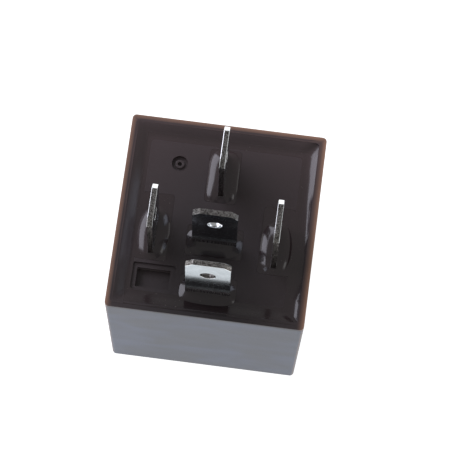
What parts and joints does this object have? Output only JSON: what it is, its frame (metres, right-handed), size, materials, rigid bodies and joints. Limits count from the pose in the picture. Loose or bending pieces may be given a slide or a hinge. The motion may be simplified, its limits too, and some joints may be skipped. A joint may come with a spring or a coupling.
{
  "type": "automotive relay",
  "caption": "Sealed cube relay with flat push-on blades: a coil in a closed housing tilts an armature and switches a common blade between two contacts.",
  "frame": {"origin": "middle of the closed end, on the surface that the relay stands on", "axes": "+Z along the blades, from the closed end towards their tips; +Y towards the common blade 30; +X towards the coil blade 86"},
  "size_m": [0.028, 0.029, 0.0365],
  "materials": {
    "cover_plastic": "satin moulded black, warm at the rim",
    "base_plastic": "matte moulded brown-black",
    "sealant": "glossy black potting",
    "tinned_blade": "bright tin plate over brass, sheared edges",
    "plated_iron": "zinc-plated soft iron",
    "bobbin_plastic": "ivory moulded nylon",
    "copper_wire": "enamelled copper wire",
    "solder": "soft grey metal",
    "spring_bronze": "rolled spring bronze",
    "contact_silver": "silver contact alloy"
  },
  "bodies": {
    "relay": {"cover": "cover_plastic", "base_plate": "base_plastic", "sealant_bead": "sealant", "sealant_mounds": "sealant", "terminal_30": "tinned_blade", "terminal_87": "tinned_blade", "terminal_87a": "tinned_blade", "terminal_85": "tinned_blade", "terminal_86": "tinned_blade", "yoke": "plated_iron", "core": "plated_iron", "bobbin": "bobbin_plastic", "winding": "copper_wire", "coil_lead_85": "copper_wire", "coil_lead_86": "copper_wire", "coil_solder_joints": "solder", "spring_rivets": "solder", "no_contact": "contact_silver", "nc_contact": "contact_silver"},
    "armature_set": {"armature": "plated_iron", "contact_spring": "spring_bronze", "armature_rivets": "solder", "moving_contact": "contact_silver"}
  },
  "joints": [
    {"name": "armature_hinge", "type": "hinge", "parent": "relay", "child": "armature_set", "pos_m": [0, 0.011, 0.00637], "axis": [-1, 0, 0], "range_deg": [0, 2.4], "stiffness_Nm_per_rad": 0.12, "springref_deg": -3.32, "deforming": ["contact_spring"]}
  ]
}
